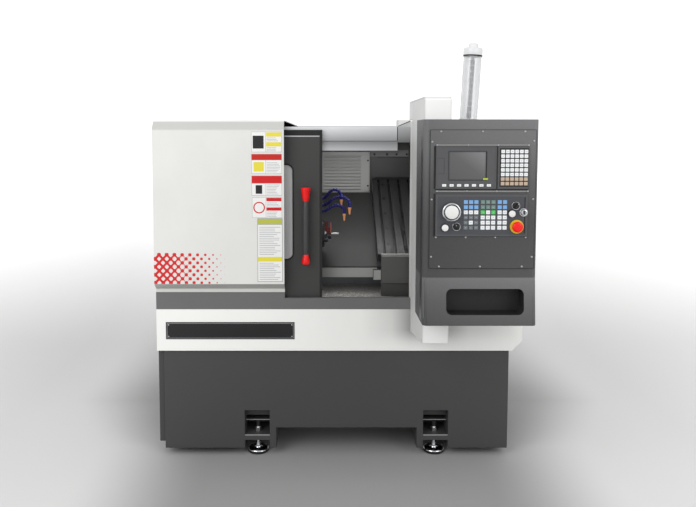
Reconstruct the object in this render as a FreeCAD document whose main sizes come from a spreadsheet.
"""A slant bed CNC turning lathe with its sheet metal enclosure and control pendant.

Millimetres.  The origin is on the floor below the middle of the machine, +X runs to the
right along the spindle, +Y to the rear and +Z up.
"""

import FreeCAD, Part

import math
import os
import re

import Sketcher
from FreeCAD import Placement, Rotation, Vector

os.makedirs("parts", exist_ok=True)
doc = FreeCAD.newDocument("TurningLathe")

# ------------------------------------------------------------------ driving sizes
SIZES = [
    ("overcut", 1.0, "how far a hollow passes the face that it opens"),
    # the whole machine
    ("half_width", 863.5, "half the width over the coolant pan"),
    ("rear_y", 628.0, "rear face of the enclosure"),
    ("sheet", 3.0, "thickness of the enclosure's sheet metal"),
    ("pan_front", -10.0, "front face of the coolant pan and the sill"),
    # base cabinet
    ("side_cover_thick", 29.0, "thickness of the left side cover"),
    ("base_right_inset", 57.0, "the base's right side inside the pan's side"),
    ("base_front", 5.0, "front face of the base cabinet"),
    ("base_rear", 600.0, "rear face of the base cabinet"),
    ("base_bottom", 36.0, "underside of the base above the floor"),
    ("base_top", 518.0, "top of the base, where the pan sits"),
    ("arch_left", -302.0, "left side of the arch between the feet"),
    ("arch_right", 372.0, "right side of the arch between the feet"),
    ("arch_height", 100.0, "height of the arch above the underside"),
    ("foot_left_x", -393.0, "middle of the left foot pockets"),
    ("foot_right_x", 462.0, "middle of the right foot pockets"),
    ("pocket_width", 119.0, "width of a foot pocket"),
    ("pocket_deep", 150.0, "depth of a foot pocket"),
    ("pocket_roof", 221.0, "height of the roof of a foot pocket"),
    ("pocket_ledge", 175.0, "height of the ledge inside a foot pocket"),
    ("ledge_deep", 60.0, "depth of the pocket above its ledge"),
    ("bridge_low", 74.0, "underside of the bridge that carries the foot"),
    ("bridge_high", 102.0, "top of the bridge that carries the foot"),
    ("bay_left", -240.0, "left side of the coolant tank's bay"),
    ("bay_right", 300.0, "right side of the coolant tank's bay"),
    ("bay_floor", 156.0, "floor of the coolant tank's bay"),
    ("bay_roof", 470.0, "roof of the coolant tank's bay"),
    ("bay_deep", 280.0, "depth of the coolant tank's bay from the rear"),
    ("side_cover_front", 20.0, "front edge of the left side cover"),
    ("side_cover_bottom", 64.0, "lower edge of the left side cover"),
    ("side_cover_drop", 8.0, "gap between the side cover and the pan"),
    # levelling feet
    ("foot_inset", 54.0, "middle of a foot behind the base's face"),
    ("disc_radius", 50.0, "radius of a levelling foot's disc"),
    ("disc_thick", 12.0, "thickness of a levelling foot's disc"),
    ("stud_radius", 10.0, "radius of a levelling screw"),
    ("stud_top", 150.0, "top of a levelling screw"),
    ("stud_bevel", 2.0, "bevel round a levelling screw's end"),
    ("stud_gap", 1.0, "clearance round a levelling screw"),
    ("nut_across", 30.0, "width across the flats of a levelling nut"),
    ("nut_thick", 16.0, "thickness of a levelling nut"),
    # coolant tank
    ("tank_gap", 4.0, "clearance round the coolant tank"),
    ("tank_lip", 6.0, "how far the coolant tank's lid stands out"),
    ("tank_lid", 4.0, "thickness of the coolant tank's lid"),
    ("tank_height", 190.0, "height of the coolant tank"),
    ("pump_radius", 55.0, "radius of the coolant pump's motor"),
    ("pump_height", 100.0, "height of the coolant pump above the tank"),
    # coolant pan and sill
    ("pan_top", 717.0, "top of the coolant pan"),
    ("pan_chamfer_x", 47.0, "width of the pan's lower right chamfer"),
    ("pan_chamfer_z", 48.5, "height of the pan's lower right chamfer"),
    ("sill_top", 770.0, "top of the sill in the door opening"),
    ("sill_lip", 22.0, "thickness of the sill's front lip"),
    ("track_floor", 735.0, "floor of the door's lower track"),
    ("track_back", 58.0, "rear side of the door's lower track"),
    ("sill_back", 75.0, "rear face of the sill"),
    ("sill_back_top", 758.0, "top of the sill's rear lip"),
    ("plinth_top", 799.0, "top of the sill below the headstock cover"),
    ("tray_front_z", 736.0, "height of the chip tray at its front"),
    ("tray_back_y", 400.0, "rear edge of the chip tray"),
    ("tray_back_z", 746.0, "height of the chip tray at its rear"),
    # headstock cover
    ("cover_right", -257.5, "right edge of the headstock cover"),
    ("cover_front", -42.0, "front face of the headstock cover"),
    ("cover_inset", 1.0, "the cover's left side inside the pan's side"),
    ("cover_bottom", 816.0, "lower edge of the headstock cover"),
    ("cover_low_bend", 844.0, "height of the cover's lower bend"),
    ("cover_high_bend", 1563.0, "height of the cover's upper bend"),
    ("cover_top", 1603.0, "top of the headstock cover"),
    ("cover_return", 18.0, "depth of the cover's lower return flange"),
    # roof, header and right enclosure
    ("roof_slope_end", -195.0, "right end of the roof's sloping part"),
    ("roof_top", 1578.0, "top of the roof over the door"),
    ("header_front", 56.0, "front face of the header beam"),
    ("header_deep", 60.0, "depth of the header beam"),
    ("header_right", 274.0, "right end of the header beam"),
    ("header_low", 1462.0, "underside of the header beam"),
    ("slot_low", 1503.0, "lower side of the header's guide slot"),
    ("slot_high", 1509.0, "upper side of the header's guide slot"),
    ("slot_deep", 14.0, "depth of the header's guide slot"),
    ("jamb_gap", 3.0, "the opening's jamb behind the door's rear face"),
    ("corner_low", 1501.0, "underside of the header's corner box"),
    ("corner_top", 1606.0, "top of the header's corner box"),
    ("opening_right", 334.0, "right side of the door opening"),
    ("right_inset", 23.5, "the right enclosure's side inside the pan's side"),
    ("right_top", 1600.0, "top of the right enclosure"),
    ("right_bevel", 25.0, "bevel along the right enclosure's upper front edge"),
    # rear panel
    ("vent_left", -750.0, "left end of the rear panel's vents"),
    ("vent_low", 1380.0, "lower side of the lowest vent"),
    ("vent_long", 300.0, "length of a vent"),
    ("vent_high", 10.0, "height of a vent"),
    ("vent_pitch", 30.0, "distance between two vents"),
    ("vent_count", 6, "number of vents"),
    # column
    ("column_width", 110.0, "width of the column"),
    ("column_front", -397.0, "front face of the column"),
    ("column_low", 671.0, "lower end of the column at its front"),
    ("column_heel", 612.0, "lower end of the column at the pan"),
    ("arm_height", 86.0, "height of the column's arm over the roof"),
    ("column_bevel", 12.0, "bevel along the column's upper front edge"),
    ("column_reach", 95.0, "rear end of the column above the roof"),
    # pendant
    ("pendant_left", 304.0, "left side of the pendant"),
    ("pendant_right", 742.0, "right side of the pendant"),
    ("pendant_front", -595.0, "front face of the pendant"),
    ("pendant_low", 805.0, "lower end of the pendant"),
    ("pendant_fold", 989.0, "height where the pendant's face bends"),
    ("pendant_kick", 18.0, "how far the pendant's lower end comes forward"),
    ("pendant_top", 1596.0, "top of the pendant"),
    ("pendant_round", 18.0, "radius of the pendant's front corners"),
    ("tray_left", 395.0, "left side of the pendant's tray"),
    ("tray_right", 694.0, "right side of the pendant's tray"),
    ("tray_low", 846.0, "lower side of the pendant's tray"),
    ("tray_high", 946.0, "upper side of the pendant's tray"),
    ("tray_round", 22.0, "corner radius of the pendant's tray"),
    ("tray_deep", 80.0, "depth of the pendant's tray"),
    ("plate_left", 327.0, "left side of the pendant's front plate"),
    ("plate_right", 731.0, "right side of the pendant's front plate"),
    ("plate_above_fold", 36.0, "the pendant's front plate above the bend of its face"),
    ("plate_high", 1557.0, "upper side of the pendant's front plate"),
    ("plate_thick", 3.0, "thickness of the pendant's front plate"),
    ("plate_round", 6.0, "corner radius of the pendant's front plate"),
    ("unit_left", 349.0, "left side of the display and operator panel"),
    ("unit_split", 587.0, "joint between the display and the keypad"),
    ("unit_right", 701.5, "right side of the keypad and operator panel"),
    ("unit_low", 1332.0, "lower side of the display unit"),
    ("unit_high", 1495.0, "upper side of the display unit"),
    ("unit_thick", 6.0, "thickness of the display and keypad units"),
    ("screen_left", 398.0, "left side of the screen"),
    ("screen_right", 540.0, "right side of the screen"),
    ("screen_low", 1367.0, "lower side of the screen"),
    ("screen_high", 1474.0, "upper side of the screen"),
    ("screen_sunk", 2.0, "how far the screen lies behind its bezel"),
    ("panel_low", 1150.0, "lower side of the operator panel"),
    ("panel_high", 1313.0, "upper side of the operator panel"),
    ("panel_thick", 4.0, "thickness of the operator panel"),
    ("key_proud", 1.5, "height of a key above its panel"),
    ("soft_in_left", 18.0, "soft keys inside the display unit's left side"),
    ("soft_in_right", 22.0, "soft keys inside the display unit's right side"),
    ("soft_low", 9.0, "soft keys above the display unit's lower side"),
    ("soft_high", 10.0, "height of the soft keys' row"),
    ("keys_in_left", 7.0, "keys inside the keypad's left side"),
    ("keys_in_right", 2.0, "keys inside the keypad's right side"),
    ("keys_in_ends", 12.0, "keys inside the keypad's upper and lower sides"),
    ("group_one", 455.0, "left side of the operator panel's first group of keys"),
    ("group_two", 520.0, "left side of the operator panel's second group of keys"),
    ("group_three", 584.0, "left side of the operator panel's third group of keys"),
    ("group_pitch", 20.0, "distance between two keys of a group"),
    ("group_low", 24.0, "the groups above the operator panel's lower side"),
    ("group_high", 21.0, "the groups below the operator panel's upper side"),
    # operator controls
    ("wheel_x", 409.0, "middle of the handwheel"),
    ("wheel_z", 1245.0, "height of the handwheel"),
    ("wheel_radius", 36.0, "radius of the handwheel"),
    ("wheel_thick", 14.0, "thickness of the handwheel's rim"),
    ("wheel_collar", 30.0, "radius of the handwheel's collar"),
    ("dial_radius", 27.0, "radius of the handwheel's dial"),
    ("dial_bevel", 2.0, "bevel round the handwheel's dial"),
    ("dial_proud", 6.6, "how far the dial stands in front of the rim"),
    ("button_left_x", 386.0, "middle of the left push button"),
    ("button_left_z", 1184.0, "height of the left push button"),
    ("button_right_x", 640.0, "middle of the right push button"),
    ("button_right_z", 1238.0, "height of the right push button"),
    ("button_radius", 10.0, "radius of a push button"),
    ("button_travel", 3.0, "travel of a push button"),
    ("pressed_gap", 1.0, "gap behind a control when it is pressed"),
    ("selector_x", 430.0, "middle of the selector switch"),
    ("selector_z", 1188.0, "height of the selector switch"),
    ("knob_x", 655.0, "middle of the override knob"),
    ("knob_z", 1268.0, "height of the override knob"),
    ("lock_x", 685.0, "middle of the key switch"),
    ("lock_z", 1243.0, "height of the key switch"),
    ("knob_radius", 11.0, "radius of a knob or key switch"),
    ("knob_length", 16.0, "length of a knob"),
    ("lever_width", 6.0, "width of a knob's grip bar"),
    ("collar_wall", 3.5, "wall of a control's collar"),
    ("collar_thick", 5.0, "how far a control's collar stands out"),
    ("stop_x", 660.0, "middle of the emergency stop"),
    ("stop_z", 1188.0, "height of the emergency stop"),
    ("stop_radius", 20.0, "radius of the emergency stop's head"),
    ("stop_rim", 8.4, "thickness of the rim of the emergency stop's head"),
    ("stop_crown", 5.6, "thickness of the crown of the emergency stop's head"),
    ("stop_crown_radius", 15.0, "radius of the front of the emergency stop's crown"),
    ("stop_neck", 9.0, "radius of the emergency stop's neck"),
    ("stop_collar", 26.0, "radius of the emergency stop's collar"),
    ("stop_travel", 4.0, "travel of the emergency stop"),
    # signal lamp
    ("lamp_x", 624.0, "middle of the signal lamp's foot"),
    ("lamp_y", 140.0, "depth of the signal lamp's foot"),
    ("lamp_lean", 3.0, "lean of the signal lamp to the right in degrees"),
    ("lamp_radius", 43.0, "radius of the signal lamp's lens"),
    ("lamp_wall", 3.0, "wall of the signal lamp's lens"),
    ("lamp_length", 302.0, "length of the signal lamp's lens"),
    ("lamp_foot", 12.0, "thickness of the signal lamp's foot"),
    ("lamp_core", 9.0, "radius of the signal lamp's core"),
    ("cap_radius", 46.0, "radius of the signal lamp's cap"),
    ("cap_thick", 38.0, "thickness of the signal lamp's cap"),
    ("cap_bevel", 6.0, "bevel round the signal lamp's cap"),
    ("crown_radius", 24.0, "radius of the ring on the lamp's cap"),
    ("crown_thick", 22.0, "thickness of the ring on the lamp's cap"),
    # sliding door
    ("door_right", -93.0, "right edge of the open door"),
    ("door_width", 600.0, "width of the door"),
    ("door_front", 20.0, "front face of the door"),
    ("door_thick", 30.0, "thickness of the door"),
    ("door_low", 742.0, "lower edge of the door"),
    ("door_high", 1560.0, "upper edge of the door"),
    ("door_edge", 12.0, "width of the door's edge seal"),
    ("window_right", -215.0, "right side of the door's window"),
    ("window_width", 380.0, "width of the door's window"),
    ("window_low", 945.0, "lower side of the door's window"),
    ("window_high", 1402.0, "upper side of the door's window"),
    ("window_round", 35.0, "corner radius of the door's window"),
    ("pane_thick", 8.0, "thickness of the window pane"),
    ("gasket", 6.0, "width of the window's gasket"),
    ("shoe_length", 80.0, "length of a guide shoe"),
    ("shoe_inset", 45.0, "a guide shoe inside the door's end"),
    ("shoe_gap", 0.5, "clearance of a guide shoe in its track"),
    ("handle_x", -158.0, "middle of the door handle"),
    ("handle_low", 932.0, "lower end of the door handle"),
    ("handle_high", 1292.0, "upper end of the door handle"),
    ("handle_end", 64.0, "length of a handle end"),
    ("handle_wide", 24.0, "radius of a handle end at its foot"),
    ("handle_slim", 12.0, "radius of a handle end at the grip"),
    ("grip_radius", 15.0, "radius of the handle's grip"),
    ("handle_stand", 34.0, "middle of the grip in front of the door"),
    # slanted bed: lengths along the slope and heights square to it
    ("slope", 37.0, "slope of the bed in degrees"),
    ("slope_y", 110.0, "front edge of the cross slide's face"),
    ("slope_z", 957.0, "height of the cross slide's front edge"),
    ("slide_left", 189.0, "left edge of the cross slide"),
    ("slide_width", 350.0, "width of the cross slide"),
    ("slide_length", 575.0, "length of the cross slide up the slope"),
    ("slide_thick", 45.0, "thickness of the cross slide"),
    ("slot_count", 6, "number of T slots in the cross slide"),
    ("slot_pitch", 54.0, "distance between two T slots"),
    ("slot_first", 34.0, "first T slot from the slide's left edge"),
    ("slot_neck", 12.0, "width of a T slot's neck"),
    ("slot_head", 22.0, "width of a T slot's head"),
    ("slot_neck_deep", 12.0, "depth of a T slot's neck"),
    ("slot_head_deep", 9.0, "depth of a T slot's head"),
    ("saddle_left", 330.0, "left edge of the saddle"),
    ("saddle_width", 230.0, "width of the saddle"),
    ("saddle_length", 430.0, "length of the saddle up the slope"),
    ("saddle_thick", 50.0, "thickness of the saddle"),
    ("guide_space", 30.0, "height of a guide between two castings"),
    ("rail_wide", 28.0, "width of a guide rail"),
    ("rail_high", 22.0, "height of a guide rail"),
    ("block_wide", 56.0, "width of a guide block"),
    ("block_long", 90.0, "length of a guide block"),
    ("block_gap", 0.4, "clearance of a guide block on its rail"),
    ("guide_lift", 4.0, "gap between a guide block and the casting below"),
    ("cross_rail_in", 40.0, "cross guide rail inside the saddle's side"),
    ("cross_block_low", 70.0, "lower guide blocks of the cross slide up the slope"),
    ("cross_block_high", 330.0, "upper guide blocks of the cross slide up the slope"),
    ("cross_nut_along", 200.0, "the cross screw's nut up the slope"),
    ("long_rail_low", 120.0, "lower bed rail up the slope"),
    ("long_rail_high", 400.0, "upper bed rail up the slope"),
    ("long_rail_left", -60.0, "left end of the bed rails"),
    ("rail_right_inset", 60.0, "right end of the bed rails inside the bed's right end"),
    ("long_space", 45.0, "height between the bed and the saddle"),
    ("screw_radius", 12.5, "radius of a ball screw"),
    ("nut_radius", 22.0, "radius of a ball screw's nut"),
    ("nut_length", 60.0, "length of a ball screw's nut"),
    ("screw_gap", 0.5, "clearance of a ball screw in its nut"),
    ("bearing_length", 30.0, "length of a ball screw's bearing block"),
    ("trough_side", 12.0, "width of the bed's trough beside the nut"),
    ("bearing_over", 4.0, "height of a bearing block above its screw"),
    ("motor_side", 80.0, "side of an axis motor"),
    ("motor_long", 110.0, "length of an axis motor"),
    ("motor_gap", 20.0, "gap between the bed rails and the long axis motor"),
    ("cross_motor_long", 80.0, "length of the cross slide's motor"),
    ("bracket_thick", 12.0, "thickness of the cross motor's bracket"),
    ("cross_screw", 8.0, "radius of the cross slide's ball screw"),
    ("cross_travel", 60.0, "travel of the cross slide down the slope"),
    ("slide_apron_low", 817.0, "lower edge of the cross slide's apron"),
    ("apron_inset", 16.0, "the aprons' left edge inside the cross slide's edge"),
    ("apron_thick", 4.0, "thickness of the cross slide's apron"),
    ("apron_front", 6.0, "front of the cross slide's apron before the slide's edge"),
    ("saddle_apron_low", 752.0, "lower edge of the saddle's apron"),
    ("saddle_apron_high", 888.0, "upper edge of the saddle's apron"),
    ("apron_tie", 37.0, "height of the tie from the saddle's apron to the saddle"),
    ("wiper_wide", 38.0, "width of the wiper beside the cross slide's apron"),
    ("wiper_deep", 20.0, "depth of the wiper"),
    ("wiper_low", 834.0, "lower end of the wiper"),
    ("wiper_high", 50.0, "height of the wiper"),
    ("bed_left", -600.0, "left end of the bed"),
    ("bed_right_inset", 103.5, "right end of the bed inside the pan's side"),
    ("bed_low_edge", 80.0, "lower edge of the bed's slope"),
    ("bed_high_edge", 450.0, "upper edge of the bed's slope"),
    ("bed_toe_y", 430.0, "front of the bed where it stands on the pan"),
    ("bed_rear_y", 600.0, "rear of the bed"),
    # way covers
    ("cover_sink", 60.0, "way cover below the cross slide's face"),
    ("way_low", -26.0, "lower edge of the way cover"),
    ("way_high", 516.0, "upper edge of the way cover"),
    ("way_right", 187.0, "right edge of the fixed way cover"),
    ("way_lip", 55.0, "height of the way cover's lower lip"),
    ("moving_left", 60.0, "left edge of the moving way cover"),
    ("moving_inset", 8.0, "the moving way cover inside the fixed one's edges"),
    ("louvre_y", 608.0, "front face of the louvre panel"),
    ("louvre_low", 1223.0, "lower edge of the louvre panel"),
    ("louvre_high", 1442.0, "upper edge of the louvre panel"),
    ("louvre_right", 182.0, "right edge of the louvre panel"),
    ("louvre_count", 11, "number of louvres"),
    ("louvre_left", -72.0, "left end of the louvres"),
    ("louvre_long", 204.0, "length of a louvre"),
    ("louvre_proud", 7.0, "how far a louvre stands out"),
    ("louvre_share", 0.7, "share of its pitch that a louvre takes"),
    ("louvre_margin", 14.0, "plain height below the first louvre"),
    ("louvre_foot", 6.0, "height of the foot that carries the louvre panel"),
    ("bulkhead_x", -110.0, "left face of the bulkhead"),
    ("bulkhead_thick", 6.0, "thickness of the bulkhead"),
    ("bulkhead_hole", 70.0, "radius of the bulkhead's hole for the chuck"),
    ("bed_toe_high", 90.0, "height of the bed's upright front above the pan"),
    # headstock and spindle
    ("axis_y", 150.0, "depth of the spindle's axis"),
    ("axis_z", 1054.0, "height of the spindle's axis"),
    ("head_left", -560.0, "left end of the headstock"),
    ("head_right", -150.0, "right end of the headstock"),
    ("head_half", 76.0, "half the height of the headstock's barrel"),
    ("head_bevel", 20.0, "bevel along the headstock's upper edges"),
    ("head_shelf", 90.0, "depth of the headstock's shelf behind its barrel"),
    ("head_toe", 40.0, "height of the headstock's rear edge above the bed"),
    ("spindle_radius", 45.0, "radius of the spindle"),
    ("spindle_neck", 37.0, "radius of the spindle under its pulley"),
    ("spindle_bore", 20.0, "radius of the spindle's bore"),
    ("flange_radius", 60.0, "radius of the spindle's flange"),
    ("spindle_gap", 0.5, "clearance of the spindle in the headstock"),
    ("spindle_tail", -660.0, "left end of the spindle"),
    ("pulley_x", -640.0, "left face of the spindle's pulley"),
    ("pulley_wide", 50.0, "width of the pulleys"),
    ("pulley_radius", 80.0, "radius of the spindle's pulley"),
    ("motor_pulley_radius", 55.0, "radius of the motor's pulley"),
    ("belt_thick", 6.0, "thickness of the drive belt"),
    ("belt_inset", 3.0, "the belt inside the pulleys' edges"),
    ("motor_y", 430.0, "depth of the spindle motor's axis"),
    ("motor_z", 1400.0, "height of the spindle motor's axis"),
    ("motor_radius", 90.0, "radius of the spindle motor"),
    ("motor_right", -260.0, "right end of the spindle motor"),
    ("motor_foot_inset", 20.0, "the spindle motor's leg inside the motor's ends"),
    ("leg_half", 54.0, "half the width of the spindle motor's leg at its top"),
    ("leg_drop", 63.0, "top of the spindle motor's leg below the motor's axis"),
    ("shaft_radius", 14.0, "radius of the spindle motor's shaft"),
    ("shaft_seat", 60.0, "length of the motor's shaft inside the motor"),
    ("chuck_left", -140.0, "left face of the chuck"),
    ("chuck_right", -70.0, "right face of the chuck"),
    ("chuck_radius", 66.0, "radius of the chuck"),
    ("chuck_bevel", 5.0, "bevel round the chuck's face"),
    ("jaw_out", 32.0, "how far a jaw stands out of the chuck"),
    ("jaw_wide", 17.0, "width of a jaw"),
    ("jaw_deep", 20.0, "depth of a jaw inside the chuck"),
    ("jaw_outer", 56.0, "outer end of a jaw from the axis"),
    ("jaw_gap", 0.4, "clearance of a jaw in its slot"),
    ("bar_radius", 5.0, "radius of the bar in the chuck"),
    ("bar_end", -2.0, "right end of the bar"),
    ("bar_tail", -180.0, "left end of the bar"),
    # coolant hoses
    ("upper_hose_y", 190.0, "depth of the upper hose's fitting"),
    ("upper_hose_z", 1225.0, "height of the upper hose's fitting"),
    ("middle_hose_y", 175.0, "depth of the middle hose's fitting"),
    ("middle_hose_z", 1192.0, "height of the middle hose's fitting"),
    ("lower_hose_y", 150.0, "depth of the lower hose's fitting"),
    ("lower_hose_z", 1165.0, "height of the lower hose's fitting"),
    ("hose_radius", 8.5, "radius of a hose segment"),
    ("hose_neck", 6.0, "radius of a hose between two segments"),
    ("hose_bore", 3.5, "radius of a hose's bore"),
    ("hose_pitch", 13.0, "length of a hose segment"),
    ("fitting_radius", 11.0, "radius of a hose's fitting on the bulkhead"),
    ("fitting_length", 8.0, "length of a hose's fitting"),
    ("nozzle_length", 34.0, "length of a hose's nozzle"),
    ("nozzle_tip", 3.6, "radius of a nozzle's tip"),
    ("nozzle_wide", 8.0, "radius of a nozzle's root"),
    ("nozzle_wall", 1.4, "wall of a nozzle at its tip"),
]

sheet = doc.addObject("Spreadsheet::Sheet", "Sizes")
for row, (alias, number, note) in enumerate(SIZES, start=1):
    sheet.set(f"A{row}", note)
    sheet.set(f"B{row}", str(number))
    sheet.setAlias(f"B{row}", alias)
doc.recompute()
size = {alias: float(number) for alias, number, note in SIZES}


# ------------------------------------------------------------------ places that follow the sizes
NEAR = 1.0  # places closer than this are one place
FOLLOWS = {
    "base_left": "(side_cover_thick - half_width)",
    "base_right": "(half_width - base_right_inset)",
    "right_side": "(half_width - right_inset)",
    "bed_right": "(half_width - bed_right_inset)",
    "long_rail_right": "(half_width - bed_right_inset - rail_right_inset)",
    "column_top": "(corner_top + arm_height)",
    "plate_low": "(pendant_fold + plate_above_fold)",
}


# ------------------------------------------------------------------ helpers
def bound(text):
    """An expression with each alias led by the name of the sheet."""
    whole = re.sub(r"[a-z]\w*", lambda word: FOLLOWS.get(word[0], word[0]), str(text))
    return re.sub(r"[a-z]\w*", lambda word: f"Sizes.{word[0]}" if word[0] in size else word[0], whole)


PARTS = []


def keep(thing, name):
    """Gives a finished piece the label that names its file."""
    thing.Label = name
    PARTS.append(thing)
    return thing


def place(thing, x="0", y="0", z="0", turn=None):
    """Places an object; turn is a Rotation."""
    thing.Placement = Placement(Vector(), turn or Rotation())
    thing.setExpression("Placement.Base.x", bound(x))
    thing.setExpression("Placement.Base.y", bound(y))
    thing.setExpression("Placement.Base.z", bound(z))
    return thing


def lay(thing, x="0", along="0", lift="0"):
    """Places an object on the slope: along runs up it and lift is square to it."""
    thing.Placement = Placement(Vector(), Rotation(Vector(1, 0, 0), size["slope"]))
    thing.setExpression("Placement.Rotation.Angle", bound("slope"))
    thing.setExpression("Placement.Base.x", bound(x))
    y = f"slope_y + ({along}) * cos(slope * 1deg) - ({lift}) * sin(slope * 1deg)"
    z = f"slope_z + ({along}) * sin(slope * 1deg) + ({lift}) * cos(slope * 1deg)"
    thing.setExpression("Placement.Base.y", bound(y))
    thing.setExpression("Placement.Base.z", bound(z))
    return thing


def block(x, y, z, length, width, height):
    """A rectangular block from its low corner and its sizes along X, Y and Z."""
    box = doc.addObject("Part::Box", "block")
    box.setExpression("Length", bound(length))
    box.setExpression("Width", bound(width))
    box.setExpression("Height", bound(height))
    return place(box, x, y, z)


def slope_block(x, along, lift, length, width, height):
    """A rectangular block that lies on the slope."""
    return lay(block("0", "0", "0", length, width, height), x, along, lift)


AXES = {"x": Rotation(Vector(0, 1, 0), 90), "y": Rotation(Vector(1, 0, 0), -90), "z": Rotation()}


def rod(axis, x, y, z, radius, length):
    """A cylinder along one axis from the middle of its low end."""
    cylinder = doc.addObject("Part::Cylinder", "rod")
    cylinder.setExpression("Radius", bound(radius))
    cylinder.setExpression("Height", bound(length))
    return place(cylinder, x, y, z, AXES[axis])


def taper(axis, x, y, z, first, last, length):
    """A cone along one axis, from its first radius to its last."""
    cone = doc.addObject("Part::Cone", "taper")
    cone.setExpression("Radius1", bound(first))
    cone.setExpression("Radius2", bound(last))
    cone.setExpression("Height", bound(length))
    return place(cone, x, y, z, AXES[axis])


def join(*things):
    """Several touching solids as one."""
    if len(things) == 1:
        return things[0]
    fused = doc.addObject("Part::MultiFuse", "joined")
    fused.Shapes = list(things)
    fused.Refine = True
    return fused


def cut(thing, *tools):
    """A solid less its tools."""
    rest = doc.addObject("Part::Cut", "rest")
    rest.Base = thing
    rest.Tool = join(*tools)
    return rest


def gather(*things):
    """Separate solids of one kind as one sub-part."""
    group = doc.addObject("Part::Compound", "group")
    group.Links = list(things)
    return group


def tube(axis, x, y, z, radius, bore, length):
    """A ring or tube along one axis."""
    return cut(rod(axis, x, y, z, radius, length), rod(axis, x, y, z, bore, length))


def origin_plane(body, role):
    """One of a body's own origin planes."""
    return next(f for f in body.Origin.OriginFeatures if f.Role == role)


def add_polygon(sketch, points):
    """A closed outline whose corners are bound to the sheet."""
    first = sketch.GeometryCount
    count = len(points)
    for step in range(count):
        start = Vector(step, step % 2, 0)
        end = Vector(step + 1, (step + 1) % 2, 0)
        sketch.addGeometry(Part.LineSegment(start, end))
    for step in range(count):
        following = first + (step + 1) % count
        sketch.addConstraint(Sketcher.Constraint("Coincident", first + step, 2, following, 1))
    for step, corner in enumerate(points):
        for kind, text in zip(("DistanceX", "DistanceY"), corner):
            number = sketch.addConstraint(Sketcher.Constraint(kind, -1, 1, first + step, 1, 1.0))
            sketch.setExpression(f"Constraints[{number}]", bound(text))


def add_circle(sketch, x, y, radius):
    """A circle whose middle and radius are bound to the sheet."""
    ring = sketch.addGeometry(Part.Circle(Vector(1, 1, 0), Vector(0, 0, 1), 2))
    for kind, text in (("DistanceX", x), ("DistanceY", y)):
        number = sketch.addConstraint(Sketcher.Constraint(kind, -1, 1, ring, 3, 1.0))
        sketch.setExpression(f"Constraints[{number}]", bound(text))
    number = sketch.addConstraint(Sketcher.Constraint("Radius", ring, 2.0))
    sketch.setExpression(f"Constraints[{number}]", bound(radius))


def add_sketch(body, plane, outlines):
    """A sketch on one of the body's own planes; an outline of three texts is a circle."""
    drawing = body.newObject("Sketcher::SketchObject", "outline")
    drawing.AttachmentSupport = [(origin_plane(body, plane), "")]
    drawing.MapMode = "FlatFace"
    for outline in outlines:
        if isinstance(outline[0], str):
            add_circle(drawing, *outline)
        else:
            add_polygon(drawing, outline)
    return drawing


def extrude(plane, outlines, start, length, body=None):
    """A PartDesign body padded from a sketch: along X, Y or Z by its plane."""
    body = body or doc.addObject("PartDesign::Body", "body")
    drawing = add_sketch(body, plane, outlines)
    pad = body.newObject("PartDesign::Pad", "pad")
    pad.Profile = drawing
    pad.setExpression("Length", bound(length))
    pad.Reversed = plane == "XZ_Plane"
    sign = "-" if plane == "XZ_Plane" else ""
    drawing.setExpression("AttachmentOffset.Base.z", bound(f"{sign}({start})"))
    return body


def revolve(outline, axis, x, y, z):
    """A PartDesign body turned about an axis; the outline is radius and height."""
    body = doc.addObject("PartDesign::Body", "turned")
    drawing = add_sketch(body, "XZ_Plane", [outline])
    turned = body.newObject("PartDesign::Revolution", "revolution")
    turned.Profile = drawing
    turned.ReferenceAxis = (drawing, ["V_Axis"])
    turned.Angle = 360
    return place(body, x, y, z, AXES[axis])


def round_edges(body, radius, chosen):
    """Rounds the edges of a body that a test picks out."""
    doc.recompute()
    base = body.Tip
    names = [f"Edge{n}" for n, edge in enumerate(base.Shape.Edges, start=1) if chosen(edge)]
    fillet = body.newObject("PartDesign::Fillet", "rounding")
    fillet.Base = (base, names)
    fillet.setExpression("Radius", bound(radius))
    return body


def runs_along(edge, direction):
    """Whether a straight edge is parallel to a direction."""
    if edge.Curve.TypeId != "Part::GeomLine":
        return False
    return edge.tangentAt(edge.FirstParameter).cross(direction).Length < 1e-6


def pocket(body, plane, outlines, start, depth, forward=True):
    """A pocket cut from a plane at start, along the axis or against it."""
    drawing = add_sketch(body, plane, outlines)
    sign = "-" if plane == "XZ_Plane" else ""
    drawing.setExpression("AttachmentOffset.Base.z", bound(f"{sign}({start})"))
    hollow = body.newObject("PartDesign::Pocket", "hollow")
    hollow.Profile = drawing
    hollow.setExpression("Length", bound(depth))
    hollow.Reversed = forward if plane != "XZ_Plane" else not forward
    return body


def box_outline(left, low, right, high):
    """The four corners of a rectangle."""
    return [(left, low), (right, low), (right, high), (left, high)]


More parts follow.
